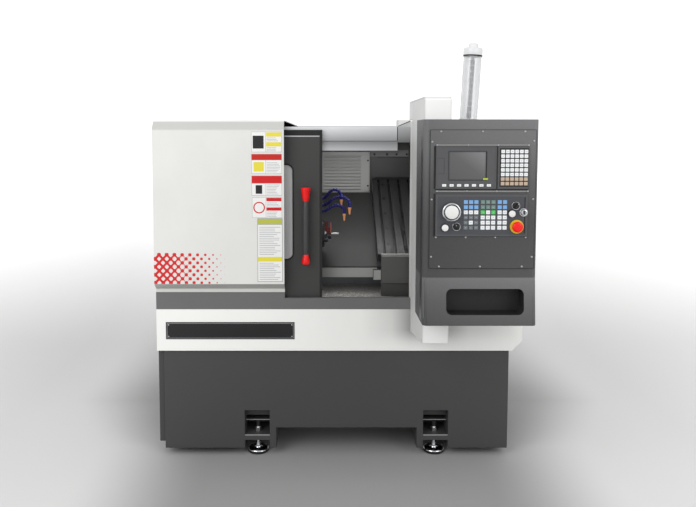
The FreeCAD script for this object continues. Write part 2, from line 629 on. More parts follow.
# ------------------------------------------------------------------ base
def base_cabinet():
    """The welded base: an arch between its feet, four foot pockets and a tank bay."""
    width = "base_right - base_left"
    front = [
        ("base_left", "base_bottom"), ("arch_left", "base_bottom"),
        ("arch_left", "base_bottom + arch_height"), ("arch_right", "base_bottom + arch_height"),
        ("arch_right", "base_bottom"), ("base_right", "base_bottom"),
        ("base_right", "base_top"), ("base_left", "base_top"),
    ]
    body = extrude("XZ_Plane", [front], "base_front", "base_rear - base_front")
    for middle in ("foot_left_x", "foot_right_x"):
        left, right = f"{middle} - pocket_width / 2", f"{middle} + pocket_width / 2"
        below = box_outline(left, "base_bottom - overcut", right, "bridge_low")
        above = box_outline(left, "bridge_high", right, "pocket_ledge")
        niche = box_outline(left, "pocket_ledge", right, "pocket_roof")
        for face, forward in (("base_front", True), ("base_rear", False)):
            pocket(body, "XZ_Plane", [below, above], face, "pocket_deep", forward)
            pocket(body, "XZ_Plane", [niche], face, "ledge_deep", forward)
    bay = box_outline("bay_left", "bay_floor", "bay_right", "bay_roof")
    pocket(body, "XZ_Plane", [bay], "base_rear", "bay_deep", False)
    holes = [
        (x, y, "stud_radius + stud_gap")
        for x in ("foot_left_x", "foot_right_x")
        for y in ("base_front + foot_inset", "base_rear - foot_inset")
    ]
    pocket(body, "XY_Plane", holes, "bridge_low", "bridge_high - bridge_low")
    return keep(body, "base_cabinet")


def foot_places():
    """The four corners where the machine stands."""
    for x in ("foot_left_x", "foot_right_x"):
        for y in ("base_front + foot_inset", "base_rear - foot_inset"):
            yield x, y


def levelling_feet():
    """Four discs with their levelling screws, each turned in one piece."""
    outline = [
        ("0", "0"), ("disc_radius", "0"), ("disc_radius", "disc_thick / 2"),
        ("stud_radius * 2", "disc_thick"), ("stud_radius", "disc_thick"),
        ("stud_radius", "stud_top - stud_bevel"), ("stud_radius - stud_bevel", "stud_top"),
        ("0", "stud_top"),
    ]
    feet = [revolve(outline, "z", x, y, "0") for x, y in foot_places()]
    return keep(gather(*feet), "levelling_feet")


def levelling_nuts():
    """A hexagon nut above and below each bridge."""
    nuts = []
    for x, y in foot_places():
        for low in ("bridge_high", "bridge_low - nut_thick"):
            hexagon = doc.addObject("Part::Prism", "hexagon")
            hexagon.Polygon = 6
            hexagon.setExpression("Circumradius", bound("nut_across / sqrt(3)"))
            hexagon.setExpression("Height", bound("nut_thick"))
            place(hexagon, x, y, low)
            nuts.append(cut(hexagon, rod("z", x, y, low, "stud_radius + stud_gap / 4", "nut_thick")))
    return keep(gather(*nuts), "levelling_nuts")


def base_side_cover():
    """The screwed cover over the left end of the base."""
    top = "base_top - side_cover_drop"
    cover = block(
        "-half_width", "side_cover_front", "side_cover_bottom",
        "side_cover_thick", "base_rear - side_cover_front", f"{top} - side_cover_bottom",
    )
    return keep(cover, "base_side_cover")


def coolant_tank():
    """The coolant tank that is drawn out at the rear, with its lid and its pump."""
    left, front = "bay_left + tank_gap", "base_rear - bay_deep + tank_gap"
    length, width = "bay_right - bay_left - 2 * tank_gap", "bay_deep - tank_gap"
    body = block(
        f"{left} + tank_lip", f"{front} + tank_lip", "bay_floor",
        f"{length} - 2 * tank_lip", f"{width} - 2 * tank_lip", "tank_height - tank_lid",
    )
    lid = block(left, front, "bay_floor + tank_height - tank_lid", length, width, "tank_lid")
    pump = rod(
        "z", "bay_left + pump_radius * 2", "base_rear - pump_radius * 2",
        "bay_floor + tank_height", "pump_radius", "pump_height",
    )
    return keep(join(body, lid, pump), "coolant_tank")


# ------------------------------------------------------------------ pan and sill
def coolant_pan():
    """The white pan across the front, with a bevelled lower right corner."""
    front = [
        ("-half_width", "base_top"), ("half_width - pan_chamfer_x", "base_top"),
        ("half_width", "base_top + pan_chamfer_z"), ("half_width", "pan_top"),
        ("-half_width", "pan_top"),
    ]
    body = extrude("XZ_Plane", [front], "pan_front", "rear_y - pan_front")
    return keep(body, "coolant_pan")


def sill_rail():
    """The folded sill with the door's lower track and the plinth under the cover."""
    profile = [
        ("pan_front", "pan_top"), ("sill_back", "pan_top"), ("sill_back", "sill_back_top"),
        ("track_back", "sill_back_top"), ("track_back", "track_floor"),
        ("pan_front + sill_lip", "track_floor"), ("pan_front + sill_lip", "sill_top"),
        ("pan_front", "sill_top"),
    ]
    sill = extrude("YZ_Plane", [profile], "-half_width", "opening_right + half_width")
    plinth = block(
        "-half_width", "pan_front", "sill_top",
        "half_width + cover_right", "sill_lip", "plinth_top - sill_top",
    )
    return keep(join(sill, plinth), "sill_rail")


def chip_tray():
    """The sheet under the work area, sloping to the front."""
    right = "saddle_left + saddle_width"
    profile = [
        ("sill_back", "tray_front_z"), ("sill_back", "tray_front_z - sheet"),
        ("tray_back_y", "tray_back_z - sheet"), ("tray_back_y", "tray_back_z"),
    ]
    left = "bulkhead_x + bulkhead_thick"
    sheet_body = extrude("YZ_Plane", [profile], left, f"{right} - ({left})")
    foot = [
        ("tray_back_y", "pan_top"), ("tray_back_y", "tray_back_z"),
        ("tray_back_y - sheet", "tray_back_z - sheet"), ("tray_back_y - sheet", "pan_top"),
    ]
    extrude("YZ_Plane", [foot], left, f"{right} - ({left})", sheet_body)
    return keep(sheet_body, "chip_tray")


# ------------------------------------------------------------------ enclosure
def headstock_cover():
    """The large folded cover over the headstock, open to the door on its right.

    A strip along its lower edge stands on the plinth.
    """
    left = "cover_inset - half_width"
    outer = [
        ("pan_front + cover_return", "cover_bottom"), ("pan_front", "cover_bottom"),
        ("cover_front", "cover_low_bend"), ("cover_front", "cover_high_bend"),
        ("pan_front", "cover_top"), ("rear_y - sheet", "cover_top"),
    ]
    inner = [
        ("rear_y - sheet", "cover_top - sheet"), ("pan_front + sheet / 2", "cover_top - sheet"),
        ("cover_front + sheet", "cover_high_bend - sheet / 2"),
        ("cover_front + sheet", "cover_low_bend + sheet / 2"),
        ("pan_front + sheet / 2", "cover_bottom + sheet"),
        ("pan_front + cover_return", "cover_bottom + sheet"),
    ]
    body = extrude("YZ_Plane", [outer + inner], left, f"cover_right - ({left})")
    end = [
        ("sill_back", "cover_bottom"), *outer[1:],
        ("rear_y - sheet", "pan_top"), ("sill_back", "pan_top"),
    ]
    extrude("YZ_Plane", [end], left, "sheet", body)
    strip = block(
        left, "pan_front + sheet / 3", "plinth_top",
        f"cover_right - ({left})", "sill_lip - sheet", "cover_bottom - plinth_top",
    )
    return keep(join(body, strip), "headstock_cover")


def roof_panel():
    """The roof over the door: it slopes down from the cover and has a raised front corner."""
    profile = [
        ("cover_right", "cover_top"), ("roof_slope_end", "roof_top"),
        ("opening_right", "roof_top"), ("opening_right", "roof_top - sheet"),
        ("roof_slope_end", "roof_top - sheet"), ("cover_right", "cover_top - sheet"),
    ]
    body = extrude("XZ_Plane", [profile], "header_front", "rear_y - sheet - header_front")
    corner = block(
        "header_right", "header_front", "roof_top",
        "opening_right - header_right", "header_deep", "corner_top - roof_top",
    )
    return keep(join(body, corner), "roof_panel")


def header_beam():
    """The beam over the opening, with the slot that guides the door."""
    profile = [
        ("header_front", "header_low"), ("header_front + header_deep", "header_low"),
        ("header_front + header_deep", "roof_top - sheet"), ("header_front", "roof_top - sheet"),
        ("header_front", "slot_high"), ("header_front + slot_deep", "slot_high"),
        ("header_front + slot_deep", "slot_low"), ("header_front", "slot_low"),
    ]
    left = "door_right - door_width"
    beam = extrude("YZ_Plane", [profile], left, f"header_right - ({left})")
    corner = block(
        "header_right", "header_front", "corner_low",
        "opening_right - header_right", "header_deep", "roof_top - sheet - corner_low",
    )
    return keep(join(beam, corner), "header_beam")


def right_enclosure():
    """The folded cover over the right of the machine, with the opening's jamb."""
    left, top = "opening_right", "right_top"
    outer = [
        ("pan_front", "pan_top"), ("pan_front", f"{top} - right_bevel"),
        ("pan_front + right_bevel", top), ("rear_y - sheet", top),
    ]
    inner = [
        ("rear_y - sheet", f"{top} - sheet"), ("pan_front + right_bevel + sheet / 2", f"{top} - sheet"),
        ("pan_front + sheet", f"{top} - right_bevel - sheet / 2"), ("pan_front + sheet", "pan_top"),
    ]
    body = extrude("YZ_Plane", [outer + inner], left, f"right_side - {left}")
    end = outer + [("rear_y - sheet", "pan_top")]
    extrude("YZ_Plane", [end], "right_side - sheet", "sheet", body)
    jamb_back = "door_front + door_thick + jamb_gap"
    jamb = [*outer[:3], (jamb_back, top), (jamb_back, "pan_top")]
    extrude("YZ_Plane", [jamb], left, "sheet", body)
    upstand = [
        (jamb_back, "roof_top - sheet"), (jamb_back, top),
        ("rear_y - sheet", top), ("rear_y - sheet", "roof_top - sheet"),
    ]
    extrude("YZ_Plane", [upstand], left, "sheet", body)
    return keep(body, "right_enclosure")


def rear_panel():
    """The sheet that closes the rear, with rows of vents behind the headstock."""
    left = "cover_inset - half_width"
    outline = [
        (left, "pan_top"), ("right_side", "pan_top"), ("right_side", "right_top"),
        ("opening_right", "right_top"), ("opening_right", "roof_top"), ("roof_slope_end", "roof_top"),
        ("cover_right", "cover_top"), (left, "cover_top"),
    ]
    body = extrude("XZ_Plane", [outline], "rear_y - sheet", "sheet")
    first = box_outline("vent_left", "vent_low", "vent_left + vent_long", "vent_low + vent_high")
    pocket(body, "XZ_Plane", [first], "rear_y", "sheet", False)
    row = body.newObject("PartDesign::LinearPattern", "vents")
    row.Originals = [body.Tip]
    row.Direction = (origin_plane(body, "Z_Axis"), [""])
    row.setExpression("Length", bound("vent_pitch * (vent_count - 1)"))
    row.setExpression("Occurrences", bound("vent_count"))
    body.Tip = row
    return keep(body, "rear_panel")


def column():
    """The white column that carries the pendant and reaches back over the roof."""
    side = [
        ("column_front", "column_low"), ("pan_front", "column_heel"), ("pan_front", "corner_top"),
        ("column_reach", "corner_top"), ("column_reach", "column_top"),
        ("column_front + column_bevel", "column_top"),
        ("column_front", "column_top - column_bevel"),
    ]
    body = extrude("YZ_Plane", [side], "opening_right", "column_width")
    return keep(body, "column")


# ------------------------------------------------------------------ pendant
def pendant_housing():
    """The pendant's box: its face bends forward below and holds a tray."""
    back = "column_front"
    side = [
        (back, "pendant_low"), ("pendant_front - pendant_kick", "pendant_low"),
        ("pendant_front", "pendant_fold"), ("pendant_front", "pendant_top"), (back, "pendant_top"),
    ]
    body = extrude("YZ_Plane", [side], "pendant_left", "pendant_right - pendant_left")

    def front_corner(edge):
        middle = edge.CenterOfMass
        upright = abs(edge.tangentAt(edge.FirstParameter).x) < 1e-6
        return upright and middle.y < size["pendant_front"] + NEAR

    round_edges(body, "pendant_round", front_corner)
    tray = box_outline("tray_left", "tray_low", "tray_right", "tray_high")
    pocket(body, "XZ_Plane", [tray], "pendant_front - pendant_kick", "tray_deep")

    def tray_corner(edge):
        middle = edge.CenterOfMass
        inside = size["tray_left"] - NEAR < middle.x < size["tray_right"] + NEAR
        level = runs_along(edge, Vector(0, 1, 0))
        return inside and level and middle.z < size["pendant_fold"]

    round_edges(body, "tray_round", tray_corner)
    return keep(body, "pendant_housing")


def front_slab(left, low, right, high, back, thick, radius="plate_round"):
    """A flat plate with round corners that stands proud of back."""
    body = extrude("XZ_Plane", [box_outline(left, low, right, high)], f"{back} - {thick}", thick)
    return round_edges(body, radius, lambda edge: runs_along(edge, Vector(0, 1, 0)))


PLATE_FACE = "(pendant_front - plate_thick)"
UNIT_FACE = "(pendant_front - plate_thick - unit_thick)"
PANEL_FACE = "(pendant_front - plate_thick - panel_thick)"


def pendant_front_plate():
    """The plate screwed to the pendant's face."""
    plate = front_slab(
        "plate_left", "plate_low", "plate_right", "plate_high", "pendant_front", "plate_thick",
    )
    return keep(plate, "pendant_front_plate")


KEY_FILL = (0.76, 0.72)  # shares of its pitch that a key is wide and high
SOFT_KEY_FILL = (0.52, 0.8)


def key_grid(left, low, right, high, columns, rows, face, fill=KEY_FILL):
    """A grid of keys between two corners, each a share of its pitch wide."""
    keys = []
    for column in range(columns):
        for row in range(rows):
            wide = f"(({right}) - ({left})) / {columns}"
            tall = f"(({high}) - ({low})) / {rows}"
            keys.append(block(
                f"{left} + {wide} * {column + (1 - fill[0]) / 2}", f"{face} - key_proud",
                f"{low} + {tall} * {row + (1 - fill[1]) / 2}",
                f"{wide} * {fill[0]}", "key_proud", f"{tall} * {fill[1]}",
            ))
    return keys


def display_unit():
    """The display's bezel, with its seven soft keys and the slot beside the screen."""
    body = extrude(
        "XZ_Plane", [box_outline("unit_left", "unit_low", "unit_split", "unit_high")],
        UNIT_FACE, "unit_thick",
    )
    screen = box_outline("screen_left", "screen_low", "screen_right", "screen_high")
    pocket(body, "XZ_Plane", [screen], UNIT_FACE, "unit_thick")
    keys = key_grid(
        "unit_left + soft_in_left", "unit_low + soft_low", "unit_split - soft_in_right",
        "unit_low + soft_low + soft_high", 7, 1, UNIT_FACE, SOFT_KEY_FILL,
    )
    return keep(join(body, *keys), "display_unit")


def display_screen():
    """The screen's glass, sunk behind its bezel."""
    glass = block(
        "screen_left", f"{UNIT_FACE} + screen_sunk", "screen_low",
        "screen_right - screen_left", "unit_thick - screen_sunk", "screen_high - screen_low",
    )
    return keep(glass, "display_screen")


def keypad_unit():
    """The keypad beside the display: one sheet with six columns of eight domed keys."""
    body = extrude(
        "XZ_Plane", [box_outline("unit_split", "unit_low", "unit_right", "unit_high")],
        UNIT_FACE, "unit_thick",
    )
    keys = key_grid(
        "unit_split + keys_in_left", "unit_low + keys_in_ends", "unit_right - keys_in_right",
        "unit_high - keys_in_ends", 6, 8, UNIT_FACE,
    )
    return keep(join(body, *keys), "keypad_unit")


def operator_panel():
    """The operator panel: one sheet with three groups of six rows of domed keys."""
    body = extrude(
        "XZ_Plane", [box_outline("unit_left", "panel_low", "unit_right", "panel_high")],
        PANEL_FACE, "panel_thick",
    )
    keys = []
    for left, columns in (("group_one", 3), ("group_two", 3), ("group_three", 2)):
        keys += key_grid(
            left, "panel_low + group_low", f"{left} + {columns} * group_pitch",
            "panel_high - group_high", columns, 6, PANEL_FACE,
        )
    return keep(join(body, *keys), "operator_panel")


def controls():
    """Collars on the operator panel with the buttons, knobs and switches inside them."""
    knobs = (("selector_x", "selector_z"), ("knob_x", "knob_z"), ("lock_x", "lock_z"))
    buttons = (("button_left_x", "button_left_z"), ("button_right_x", "button_right_z"))
    collars = []
    for x, z in buttons:
        bore = "button_radius + block_gap"
        collars.append(collar(x, z, bore, "collar_wall"))
    for x, z in knobs:
        collars.append(tube(
            "y", x, f"{PANEL_FACE} - collar_thick", z,
            "knob_radius + collar_wall", "knob_radius / 2 + block_gap", "collar_thick",
        ))
    wheel_collar = tube(
        "y", "wheel_x", f"{PANEL_FACE} - collar_thick", "wheel_z",
        "wheel_collar", "knob_radius / 2 + block_gap", "collar_thick",
    )
    keep(gather(*collars, wheel_collar), "control_collars")
    for name, (x, z) in zip(("button_left", "button_right"), buttons):
        rise = "button_travel + collar_thick + pressed_gap"
        keep(rod("y", x, f"{PANEL_FACE} - ({rise})", z, "button_radius", "collar_thick"), name)
    for name, (x, z) in zip(("selector_switch", "override_knob", "key_switch"), knobs):
        base = f"{PANEL_FACE} - collar_thick - block_gap"
        stem = rod("y", x, base, z, "knob_radius / 2", "collar_thick")
        head = rod("y", x, f"{base} - knob_length / 2", z, "knob_radius", "knob_length / 2")
        grip = block(
            f"{x} - lever_width / 2", f"{base} - knob_length", f"{z} - knob_radius",
            "lever_width", "knob_length / 2", "knob_radius * 2",
        )
        keep(join(stem, head, grip), name)


def collar(x, z, bore, wall):
    """A ring on the operator panel round a control."""
    radius = f"{bore} + {wall}"
    return tube("y", x, f"{PANEL_FACE} - collar_thick", z, radius, bore, "collar_thick")


def handwheel():
    """The pulse handwheel: a knurled rim with a raised dial, on a short stem."""
    base = f"{PANEL_FACE} - collar_thick - block_gap"
    stem = rod("y", "wheel_x", base, "wheel_z", "knob_radius / 2", "collar_thick")
    rim = rod("y", "wheel_x", f"{base} - wheel_thick", "wheel_z", "wheel_radius", "wheel_thick")
    dial = taper(
        "y", "wheel_x", f"{base} - wheel_thick - dial_proud", "wheel_z",
        "dial_radius - dial_bevel", "dial_radius", "dial_proud",
    )
    return keep(join(stem, rim, dial), "handwheel")


def emergency_stop():
    """The emergency stop: a fixed collar and a mushroom head that is pressed."""
    keep(tube(
        "y", "stop_x", f"{PANEL_FACE} - collar_thick", "stop_z",
        "stop_collar", "stop_neck + block_gap", "collar_thick",
    ), "stop_collar_ring")
    base = f"{PANEL_FACE} - collar_thick - stop_travel - pressed_gap"
    neck = rod("y", "stop_x", base, "stop_z", "stop_neck", "collar_thick")
    head = rod("y", "stop_x", f"{base} - stop_rim", "stop_z", "stop_radius", "stop_rim")
    crown = taper(
        "y", "stop_x", f"{base} - stop_rim - stop_crown", "stop_z", "stop_crown_radius",
        "stop_radius", "stop_crown",
    )
    return keep(join(neck, head, crown), "stop_head_red")


# ------------------------------------------------------------------ signal lamp
def leaned(thing):
    """Leans a piece of the signal lamp about the middle of its foot."""
    place(thing, "lamp_x", "lamp_y", "right_top", Rotation(Vector(0, 1, 0), size["lamp_lean"]))
    thing.setExpression("Placement.Rotation.Angle", bound("lamp_lean"))
    return thing


def signal_lamp():
    """The signal lamp: a clear tube round a dark core, under a cap with a ring."""
    foot = [
        ("0", "-lamp_foot"), ("lamp_radius", "-lamp_foot"), ("lamp_radius", "lamp_foot"),
        ("0", "lamp_foot"),
    ]
    core = [
        ("0", "lamp_foot"), ("lamp_core", "lamp_foot"),
        ("lamp_core", "lamp_foot + lamp_length"), ("0", "lamp_foot + lamp_length"),
    ]
    stand = revolve(foot, "z", "0", "0", "0")
    rod_body = revolve(core, "z", "0", "0", "0")
    under_roof = block(
        "lamp_x - lamp_radius * 2", "lamp_y - lamp_radius * 2", "right_top - lamp_foot * 2",
        "lamp_radius * 4", "lamp_radius * 4", "lamp_foot * 2",
    )
    keep(cut(leaned(join(stand, rod_body)), under_roof), "lamp_stand")
    lens = [
        ("lamp_radius - lamp_wall", "lamp_foot"), ("lamp_radius", "lamp_foot"),
        ("lamp_radius", "lamp_foot + lamp_length"),
        ("lamp_radius - lamp_wall", "lamp_foot + lamp_length"),
    ]
    keep(leaned(revolve(lens, "z", "0", "0", "0")), "lamp_lens")
    low = "lamp_foot + lamp_length"
    cap = [
        ("0", low), ("cap_radius", low), ("cap_radius", f"{low} + cap_thick - cap_bevel"),
        ("cap_radius - cap_bevel", f"{low} + cap_thick"), ("crown_radius", f"{low} + cap_thick"),
        ("crown_radius", f"{low} + cap_thick + crown_thick"),
        ("0", f"{low} + cap_thick + crown_thick"),
    ]
    return keep(leaned(revolve(cap, "z", "0", "0", "0")), "lamp_cap")


# ------------------------------------------------------------------ door
def guide_shoes():
    """Two shoes that run in the header's slot and two that run in the sill's track."""
    shoes = []
    back = "door_front + door_thick"
    for x in ("door_right - door_width + shoe_inset", "door_right - shoe_inset - shoe_length"):
        shoes.append(block(
            x, back, "slot_low + shoe_gap", "shoe_length",
            f"header_front + slot_deep - shoe_gap - ({back})", "slot_high - slot_low - 2 * shoe_gap",
        ))
        shoes.append(block(
            x, "pan_front + sill_lip + shoe_gap", "track_floor + shoe_gap",
            "shoe_length", "track_back - pan_front - sill_lip - 2 * shoe_gap",
            "door_low - track_floor - shoe_gap",
        ))
    return shoes


def door():
    """The sliding door with its window, seals, guide shoes and handle."""
    left = "door_right - door_width"
    window_left = "window_right - window_width"
    outline = box_outline(left, "door_low", "door_right", "door_high")
    leaf = extrude("XZ_Plane", [outline], "door_front", "door_thick")
    hole = box_outline(window_left, "window_low", "window_right", "window_high")
    pocket(leaf, "XZ_Plane", [hole], "door_front", "door_thick")

    def window_corner(edge):
        middle = edge.CenterOfMass
        window_left = size["window_right"] - size["window_width"]
        inside = window_left - NEAR < middle.x < size["window_right"] + NEAR
        return runs_along(edge, Vector(0, 1, 0)) and inside and middle.z < size["window_high"] + NEAR

    round_edges(leaf, "window_round", window_corner)
    keep(join(leaf, *guide_shoes()), "door_panel")

    def corner(edge):
        return runs_along(edge, Vector(0, 1, 0))

    outer = extrude("XZ_Plane", [hole], "door_front + pane_thick / 2", "pane_thick")
    round_edges(outer, "window_round", corner)
    inset = [
        (f"{window_left} + gasket", "window_low + gasket"),
        ("window_right - gasket", "window_low + gasket"),
        ("window_right - gasket", "window_high - gasket"),
        (f"{window_left} + gasket", "window_high - gasket"),
    ]
    inner = extrude("XZ_Plane", [inset], "door_front + pane_thick / 2", "pane_thick")
    round_edges(inner, "window_round - gasket", corner)
    pane = extrude("XZ_Plane", [inset], "door_front + pane_thick / 2", "pane_thick")
    round_edges(pane, "window_round - gasket", corner)
    edge_strip = block(
        "door_right", "door_front + pane_thick / 4", "door_low",
        "door_edge", "door_thick - pane_thick / 2", "door_high - door_low",
    )
    keep(gather(cut(outer, inner), edge_strip), "door_seals")
    keep(pane, "door_window")
    middle = "door_front - handle_stand"
    grip = rod(
        "z", "handle_x", middle, "handle_low + handle_end",
        "grip_radius", "handle_high - handle_low - 2 * handle_end",
    )
    keep(grip, "handle_grip")
    ends = []
    for low, first, last in (
        ("handle_low", "handle_wide", "handle_slim"),
        ("handle_high - handle_end", "handle_slim", "handle_wide"),
    ):
        cone = taper("z", "handle_x", middle, low, first, last, "handle_end")
        foot_z = "handle_low + handle_wide" if low == "handle_low" else "handle_high - handle_wide"
        foot = rod("y", "handle_x", middle, foot_z, "handle_slim * 1.2", "handle_stand")
        ends.append(join(cone, foot))
    return keep(gather(*ends), "handle_ends")


# ------------------------------------------------------------------ bed and guides
BED_FACE = "(-slide_thick - guide_space - saddle_thick - long_space)"
SADDLE_FACE = "(-slide_thick - guide_space)"
SADDLE_BACK = "(-slide_thick - guide_space - saddle_thick)"
LONG_SCREW_LIFT = f"({SADDLE_BACK} - long_space / 2 + guide_lift)"
CROSS_SCREW_LIFT = "(-slide_thick - guide_space / 2)"
RAILS_MIDDLE = "(long_rail_low + long_rail_high) / 2"
TROUGH_LOW = f"({RAILS_MIDDLE} - nut_radius - trough_side)"
TROUGH_WIDE = "(nut_radius * 2 + trough_side * 2)"
TROUGH_FLOOR = f"({BED_FACE} - nut_radius)"


def on_slope(along, lift):
    """The Y and Z of a point of the slope."""
    y = f"slope_y + ({along}) * cos(slope * 1deg) - ({lift}) * sin(slope * 1deg)"
    z = f"slope_z + ({along}) * sin(slope * 1deg) + ({lift}) * cos(slope * 1deg)"
    return y, z


def bed():
    """The slanted bed casting with its guide rails, screw trough and bearing blocks."""
    low = on_slope("bed_low_edge", BED_FACE)
    high = on_slope("bed_high_edge", BED_FACE)
    profile = [
        low, high, ("bed_rear_y", high[1]), ("bed_rear_y", "pan_top"),
        ("bed_toe_y", "pan_top"), ("bed_toe_y", "pan_top + bed_toe_high"),
    ]
    body = extrude("YZ_Plane", [profile], "bed_left", "bed_right - bed_left")
    trough = slope_block(
        "long_rail_left - trough_side", TROUGH_LOW, TROUGH_FLOOR,
        "bed_right - long_rail_left + 2 * trough_side", TROUGH_WIDE, "nut_radius * 2",
    )
    rails = []
    for along in ("long_rail_low", "long_rail_high"):
        rails.append(slope_block(
            "long_rail_left", f"{along} - rail_wide / 2", BED_FACE,
            "long_rail_right - long_rail_left", "rail_wide", "rail_high",
        ))
    bearings = []
    for x in ("long_rail_left", "long_rail_right - bearing_length"):
        high = f"{LONG_SCREW_LIFT} - ({TROUGH_FLOOR}) + screw_radius + bearing_over"
        whole = slope_block(x, TROUGH_LOW, TROUGH_FLOOR, "bearing_length", TROUGH_WIDE, high)
        hole = slope_rod_x(x, RAILS_MIDDLE, "screw_radius + screw_gap", "bearing_length", LONG_SCREW_LIFT)
        bearings.append(cut(whole, hole))
    return keep(join(cut(body, trough), *rails, *bearings), "bed")


def guide_block(x, along, lift, length, width, height, rail_x, rail_along, rail_lift, across):
    """A guide block that grips a rail; across tells whether the rail runs up the slope."""
    whole = slope_block(x, along, lift, length, width, height)
    wide = "rail_wide + 2 * block_gap"
    high = f"rail_high + block_gap - ({lift}) + ({rail_lift})"
    if across:
        groove = slope_block(
            rail_x, f"{along} - overcut", lift, wide, f"{width} + 2 * overcut", high,
        )
    else:
        groove = slope_block(
            f"{x} - overcut", rail_along, lift, f"{length} + 2 * overcut", wide, high,
        )
    return cut(whole, groove)


def saddle():
    """The saddle: a casting on four guide blocks, with cross rails and a way cover."""
    plate = slope_block("saddle_left", "0", SADDLE_BACK, "saddle_width", "saddle_length", "saddle_thick")
    pieces = [plate]
    lift = f"{SADDLE_BACK} - long_space + guide_lift"
    for along in ("long_rail_low", "long_rail_high"):
        for x in ("saddle_left", "saddle_left + saddle_width - block_long"):
            pieces.append(guide_block(
                x, f"{along} - block_wide / 2", lift, "block_long", "block_wide",
                "long_space - guide_lift", "0", f"{along} - rail_wide / 2 - block_gap",
                BED_FACE, False,
            ))
    nut = slope_block(
        "saddle_left + saddle_width / 2 - nut_length / 2", f"{RAILS_MIDDLE} - nut_radius",
        f"{SADDLE_BACK} - long_space + guide_lift", "nut_length", "nut_radius * 2",
        "long_space - guide_lift",
    )
    bore = slope_rod_x(
        "saddle_left", RAILS_MIDDLE, "screw_radius + screw_gap", "saddle_width", LONG_SCREW_LIFT,
    )
    rails = []
    for x in ("saddle_left + cross_rail_in", "saddle_left + saddle_width - cross_rail_in"):
        rails.append(slope_block(
            f"{x} - rail_wide / 2", "0", SADDLE_FACE, "rail_wide", "saddle_length", "rail_high",
        ))
    return keep(join(*pieces, cut(nut, bore), *rails, moving_cover()), "saddle")


def slope_rod_x(x, along, radius, length, lift):
    """A cylinder along X on the slope."""
    cylinder = doc.addObject("Part::Cylinder", "rod")
    cylinder.setExpression("Radius", bound(radius))
    cylinder.setExpression("Height", bound(length))
    y, z = on_slope(along, lift)
    return place(cylinder, x, y, z, AXES["x"])


def slope_rod_up(x, along, radius, length, lift):
    """A cylinder up the slope."""
    cylinder = doc.addObject("Part::Cylinder", "rod")
    cylinder.setExpression("Radius", bound(radius))
    cylinder.setExpression("Height", bound(length))
    lay(cylinder, x, along, lift)
    cylinder.Placement = Placement(Vector(), Rotation(Vector(1, 0, 0), size["slope"] - 90))
    cylinder.setExpression("Placement.Rotation.Angle", bound("slope - 90"))
    return cylinder


def cross_slide():
    """The cross slide: a plate with T slots up the slope, on four guide blocks."""
    plate = slope_block("slide_left", "0", "-slide_thick", "slide_width", "slide_length", "slide_thick")
    slots = []
    for number in range(int(size["slot_count"])):
        middle = f"slide_left + slot_first + slot_pitch * {number}"
        slots.append(slope_block(
            f"{middle} - slot_neck / 2", "-overcut", "-slot_neck_deep", "slot_neck",
            "slide_length + 2 * overcut", "slot_neck_deep + overcut",
        ))
        slots.append(slope_block(
            f"{middle} - slot_head / 2", "-overcut", "-slot_neck_deep - slot_head_deep",
            "slot_head", "slide_length + 2 * overcut", "slot_head_deep",
        ))
    pieces = [cut(plate, *slots)]
    lift = f"{SADDLE_FACE} + guide_lift"
    for x in ("saddle_left + cross_rail_in", "saddle_left + saddle_width - cross_rail_in"):
        for along in ("cross_block_low", "cross_block_high"):
            pieces.append(guide_block(
                f"{x} - block_wide / 2", along, lift, "block_wide", "block_long",
                "guide_space - guide_lift", f"{x} - rail_wide / 2 - block_gap", "0",
                SADDLE_FACE, True,
            ))
    middle = "saddle_left + saddle_width / 2"
    nut = slope_block(
        f"{middle} - nut_radius", "cross_nut_along", f"{SADDLE_FACE} + guide_lift",
        "nut_radius * 2", "nut_length", "guide_space - guide_lift",
    )
    bore = slope_rod_up(
        middle, "cross_nut_along", "cross_screw + screw_gap", "nut_length", CROSS_SCREW_LIFT,
    )
    front = "slope_y - apron_front"
    profile = [
        (front, "slope_z - apron_thick"), ("slope_y", "slope_z"), on_slope("0", "-slide_thick"),
        (f"{front} + apron_thick", "slope_z - slide_thick - apron_thick * 2"),
        (f"{front} + apron_thick", "slide_apron_low"), (front, "slide_apron_low"),
    ]
    left = "slide_left + apron_inset"
    apron = extrude("YZ_Plane", [profile], left, "slide_width - apron_inset")
    return keep(join(*pieces, cut(nut, bore), apron), "cross_slide")


def screws_and_motors():
    """Both ball screws, each with its servo motor."""
    screw = slope_rod_x(
        "long_rail_left", RAILS_MIDDLE, "screw_radius",
        "long_rail_right - long_rail_left + motor_gap / 2", LONG_SCREW_LIFT,
    )
    keep(screw, "long_screw")
    foot_left = "long_rail_right + motor_gap"
    top = f"{LONG_SCREW_LIFT} + screw_radius"
    foot = slope_block(
        foot_left, TROUGH_LOW, TROUGH_FLOOR, f"bed_right - ({foot_left})", TROUGH_WIDE,
        f"{top} - ({TROUGH_FLOOR})",
    )
    motor = slope_block(
        foot_left, f"{RAILS_MIDDLE} - motor_side / 2", top, "motor_long", "motor_side", "motor_side",
    )
    keep(join(motor, foot), "long_motor")
    middle = "saddle_left + saddle_width / 2"
    low = "cross_block_low - cross_travel"
    keep(slope_rod_up(
        middle, low, "cross_screw", f"saddle_length - guide_lift - ({low})", CROSS_SCREW_LIFT,
    ), "cross_screw_shaft")
    left = f"{middle} - motor_side / 2"
    high = "saddle_thick + guide_space - guide_lift"
    bracket = slope_block(left, "saddle_length", SADDLE_BACK, "motor_side", "bracket_thick", high)
    body = slope_block(
        left, "saddle_length + bracket_thick", SADDLE_BACK, "motor_side", "cross_motor_long", high,
    )
    keep(join(bracket, body), "cross_motor")


